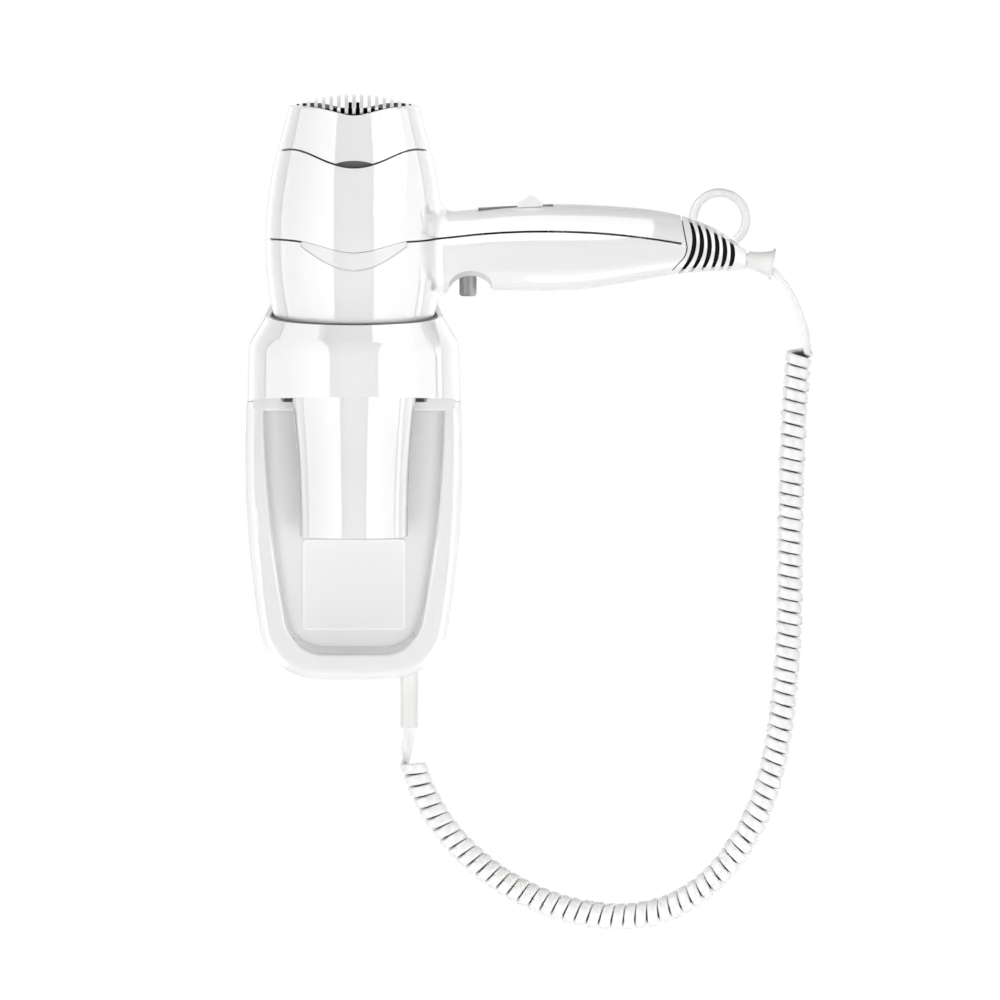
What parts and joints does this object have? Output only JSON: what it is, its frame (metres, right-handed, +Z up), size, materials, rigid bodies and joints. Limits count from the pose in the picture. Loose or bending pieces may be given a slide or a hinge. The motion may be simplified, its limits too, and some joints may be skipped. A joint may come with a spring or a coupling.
{
  "type": "wall hair dryer",
  "caption": "White hair dryer hanging nozzle-down in a wall holder, with finned rear intake, slide switch, push button, hanging loop and a curly cord back to the holder.",
  "frame": {"origin": "on the wall surface, midway between the two wall screws", "axes": "+Z up, +Y into the wall, -Y to the front, +X along the handle to the cord end"},
  "size_m": [0.2835, 0.1052, 0.4195],
  "materials": {
    "white_shell": "gloss",
    "inner_white": "matte",
    "label_white": "satin",
    "pale_grey": "satin",
    "charcoal": "matte",
    "black": "matte",
    "soft_white": "satin",
    "cord_white": "satin",
    "button_silver": "metallic",
    "steel": "bare",
    "mica": "matte"
  },
  "bodies": {
    "wall_holder": {"wall_plate": "inner_white", "holder_housing": "white_shell", "holder_collar": "white_shell", "seat_ring": "charcoal", "label_panel": "label_white", "terminal_block": "inner_white", "terminal_screws": "steel", "cord_clamp": "charcoal", "lock_screw": "steel", "cord_gland": "soft_white", "cord_lower_lead": "cord_white", "curly_cord": "cord_white"},
    "dryer": {"front_shell": "white_shell", "rear_shell": "white_shell", "crescent_trim": "pale_grey", "front_nozzle": "white_shell", "outlet_grille": "charcoal", "heater_frame": "mica", "heater_coil": "steel", "heater_sleeve": "mica", "thermal_cutout": "steel", "motor_can": "steel", "motor_carrier": "charcoal", "switch_bezel": "charcoal", "switch_unit": "charcoal", "button_spring": "steel", "button_switch": "charcoal", "shell_screws": "steel", "end_sleeve": "white_shell", "sleeve_core": "black", "hanging_loop": "soft_white", "cord_bush": "soft_white", "cord_upper_lead": "cord_white"},
    "rear_cap": {"intake_cap": "white_shell", "cap_ring": "charcoal", "intake_grille": "white_shell", "intake_liner": "black", "filter_screen": "black"},
    "slide_switch": {"switch_knob": "white_shell"},
    "button": {"push_button": "button_silver"},
    "fan": {"motor_shaft": "steel", "fan_impeller": "charcoal"}
  },
  "joints": [
    {"name": "dryer_lift", "type": "slide", "parent": "wall_holder", "child": "dryer", "axis": [0, 0, 1], "range_m": [0, 0.13], "deforming": ["curly_cord", "cord_lower_lead", "cord_upper_lead"]},
    {"name": "cap_pull", "type": "slide", "parent": "dryer", "child": "rear_cap", "axis": [0, 0, 1], "range_m": [0, 0.03]},
    {"name": "switch_slide", "type": "slide", "parent": "dryer", "child": "slide_switch", "axis": [-0.9988, 0, -0.0489], "range_m": [0, 0.016]},
    {"name": "button_press", "type": "slide", "parent": "dryer", "child": "button", "axis": [0, 0, 1], "range_m": [0, 0.0035], "stiffness_N_per_m": 400, "springref_m": -0.002, "deforming": ["button_spring"]},
    {"name": "fan_spin", "type": "hinge", "parent": "dryer", "child": "fan", "pos_m": [0, -0.052, 0.16], "axis": [0, 0, 1], "continuous": true}
  ]
}
